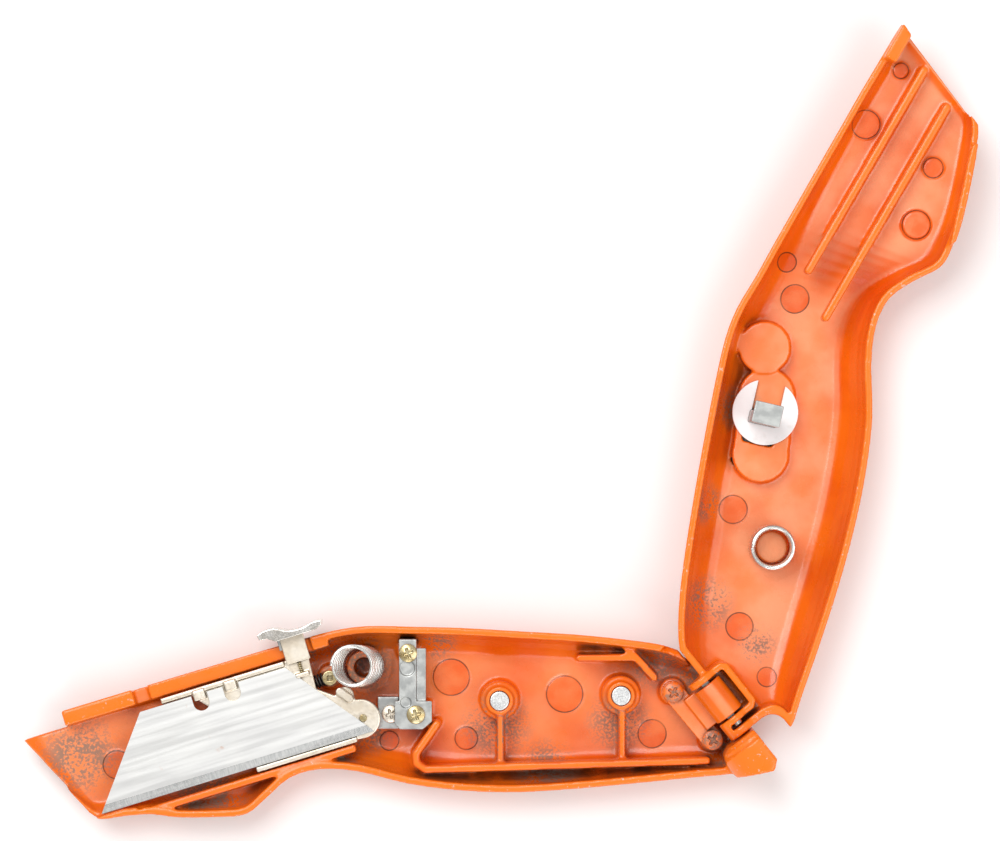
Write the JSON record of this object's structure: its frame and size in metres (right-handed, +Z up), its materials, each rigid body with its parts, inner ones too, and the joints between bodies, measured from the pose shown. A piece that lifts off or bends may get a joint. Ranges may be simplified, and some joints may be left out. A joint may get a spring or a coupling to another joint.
{
  "type": "utility knife",
  "caption": "Swing-open retractable utility knife: two cast handle halves hinged at the tail, sliding blade carrier, return spring and latch; shown lying open.",
  "frame": {"origin": "middle of the open knife's footprint, on the surface that it lies on", "axes": "+X from the base half's nose towards the open cover, +Z up out of the open halves, +Y towards the cover's nose"},
  "size_m": [0.2077, 0.1728, 0.0223],
  "materials": {
    "orange_paint": "glossy orange paint on a zinc casting, worn on the rims",
    "zinc": "bare cast zinc, dull and mottled",
    "brass": "yellow-passivated steel, satin",
    "cream_nickel": "warm nickel plate, satin",
    "bright_steel": "bright plated steel",
    "chrome_plate": "chrome plate with dark scuffs",
    "blade_steel": "satin carbon steel, ground edge",
    "spring_steel": "drawn spring wire",
    "black_spring": "black oxide spring wire",
    "white_clip": "pale plated clip, almost white"
  },
  "bodies": {
    "base": {"base_shell": "orange_paint", "hinge_bracket": "orange_paint", "bracket_screws": "orange_paint", "hinge_pin": "bright_steel", "keeper_block": "zinc", "keeper_screws": "brass", "stop_plate": "zinc", "stop_plate_screw": "cream_nickel", "spring_anchor_screw": "brass", "front_magnet": "bright_steel", "rear_magnet": "bright_steel", "opening_spring": "spring_steel", "return_spring": "black_spring"},
    "carrier": {"blade_carrier": "cream_nickel", "carrier_rivet": "brass", "blade": "blade_steel", "thumb_spring": "brass"},
    "thumb": {"thumb_slider": "chrome_plate", "slider_stem": "cream_nickel", "lock_tooth": "zinc"},
    "cover": {"cover_shell": "orange_paint", "hold_down_spring": "spring_steel"},
    "button": {"release_button": "zinc", "retaining_clip": "white_clip", "latch_spring": "spring_steel"}
  },
  "joints": [
    {"name": "cover_hinge", "type": "hinge", "parent": "base", "child": "cover", "pos_m": [0.0471, -0.0604, 0.013], "axis": [0.6225, -0.7826, 0], "range_deg": [0, 180], "deforming": ["opening_spring"]},
    {"name": "blade_slide", "type": "slide", "parent": "base", "child": "carrier", "axis": [-0.9563, -0.2924, 0], "range_m": [0, 0.027], "stiffness_N_per_m": 60, "springref_m": -0.02, "deforming": ["return_spring"]},
    {"name": "thumb_press", "type": "slide", "parent": "carrier", "child": "thumb", "axis": [0.2924, -0.9563, 0], "range_m": [0, 0.0008], "stiffness_N_per_m": 600, "springref_m": -0.001, "deforming": ["thumb_spring"]},
    {"name": "release_slide", "type": "slide", "parent": "cover", "child": "button", "axis": [-0.225, -0.9744, 0], "range_m": [0, 0.004], "stiffness_N_per_m": 400, "springref_m": -0.001, "deforming": ["latch_spring"]}
  ]
}
